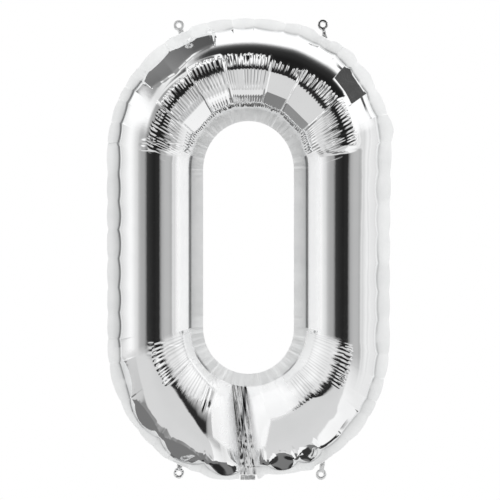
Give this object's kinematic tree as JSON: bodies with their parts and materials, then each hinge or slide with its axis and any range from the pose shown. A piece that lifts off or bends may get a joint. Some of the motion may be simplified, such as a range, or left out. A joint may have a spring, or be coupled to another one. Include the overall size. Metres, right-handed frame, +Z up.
{
  "type": "foil number balloon",
  "caption": "Inflated silver foil balloon in the shape of the digit zero, with sealed edges, small hanging tabs, an inflation neck and a self-sealing film valve.",
  "frame": {"origin": "centre of the balloon, midway between the top and bottom edges, the two sides and the two faces", "axes": "+X to the right seen from the front, +Y from the front face to the back face, +Z up the digit"},
  "size_m": [0.2492, 0.0622, 0.4053],
  "materials": {
    "silver_foil": "mirror-bright metallised film, smooth, with fine creases",
    "fused_sealant": "clear sealant fused between the panels",
    "valve_film": "clear soft film, slightly milky"
  },
  "bodies": {
    "balloon": {"front_foil": "silver_foil", "back_foil": "silver_foil", "edge_heat_seal": "fused_sealant", "hole_heat_seal": "fused_sealant", "web_heat_seal": "fused_sealant", "valve_sleeve": "valve_film"},
    "top_left_tab": {"top_left_tab": "silver_foil"},
    "top_right_tab": {"top_right_tab": "silver_foil"},
    "bottom_left_tab": {"bottom_left_tab": "silver_foil"},
    "bottom_right_tab": {"bottom_right_tab": "silver_foil"},
    "neck_front_lip": {"neck_front_lip": "silver_foil"},
    "neck_back_lip": {"neck_back_lip": "silver_foil"},
    "valve_front_flap": {"valve_front_flap": "valve_film"},
    "valve_back_flap": {"valve_back_flap": "valve_film"}
  },
  "joints": [
    {"name": "top_left_tab_swing", "type": "hinge", "parent": "balloon", "child": "top_left_tab", "pos_m": [-0.05928, 0, 0.19053], "axis": [0.9075, 0, 0.4201], "range_deg": [-90, 90]},
    {"name": "top_right_tab_swing", "type": "hinge", "parent": "balloon", "child": "top_right_tab", "pos_m": [0.06703, 0, 0.18662], "axis": [0.8768, 0, -0.4809], "range_deg": [-90, 90]},
    {"name": "bottom_left_tab_swing", "type": "hinge", "parent": "balloon", "child": "bottom_left_tab", "pos_m": [-0.06058, 0, -0.19062], "axis": [-0.9057, 0, 0.424], "range_deg": [-90, 90]},
    {"name": "bottom_right_tab_swing", "type": "hinge", "parent": "balloon", "child": "bottom_right_tab", "pos_m": [0.06501, 0, -0.18843], "axis": [-0.8877, 0, -0.4605], "range_deg": [-90, 90]},
    {"name": "neck_front_lip_bend", "type": "hinge", "parent": "balloon", "child": "neck_front_lip", "pos_m": [-0.00059, -0.00042, -0.19855], "axis": [-1, 0, 0], "range_deg": [0, 40]},
    {"name": "neck_back_lip_bend", "type": "hinge", "parent": "balloon", "child": "neck_back_lip", "pos_m": [-0.00059, 0.00042, -0.19855], "axis": [-1, 0, 0], "range_deg": [-40, 0]},
    {"name": "valve_front_flap_open", "type": "hinge", "parent": "balloon", "child": "valve_front_flap", "pos_m": [-0.01872, -0.00022, -0.16684], "axis": [0.866, 0, 0.5], "range_deg": [0, 12]},
    {"name": "valve_back_flap_open", "type": "hinge", "parent": "balloon", "child": "valve_back_flap", "pos_m": [-0.01872, 0.00022, -0.16684], "axis": [0.866, 0, 0.5], "range_deg": [-12, 0]}
  ],
  "couplings": [
    {"joint": "neck_back_lip_bend", "follows": "neck_front_lip_bend", "ratio": -1},
    {"joint": "valve_back_flap_open", "follows": "valve_front_flap_open", "ratio": -1}
  ]
}
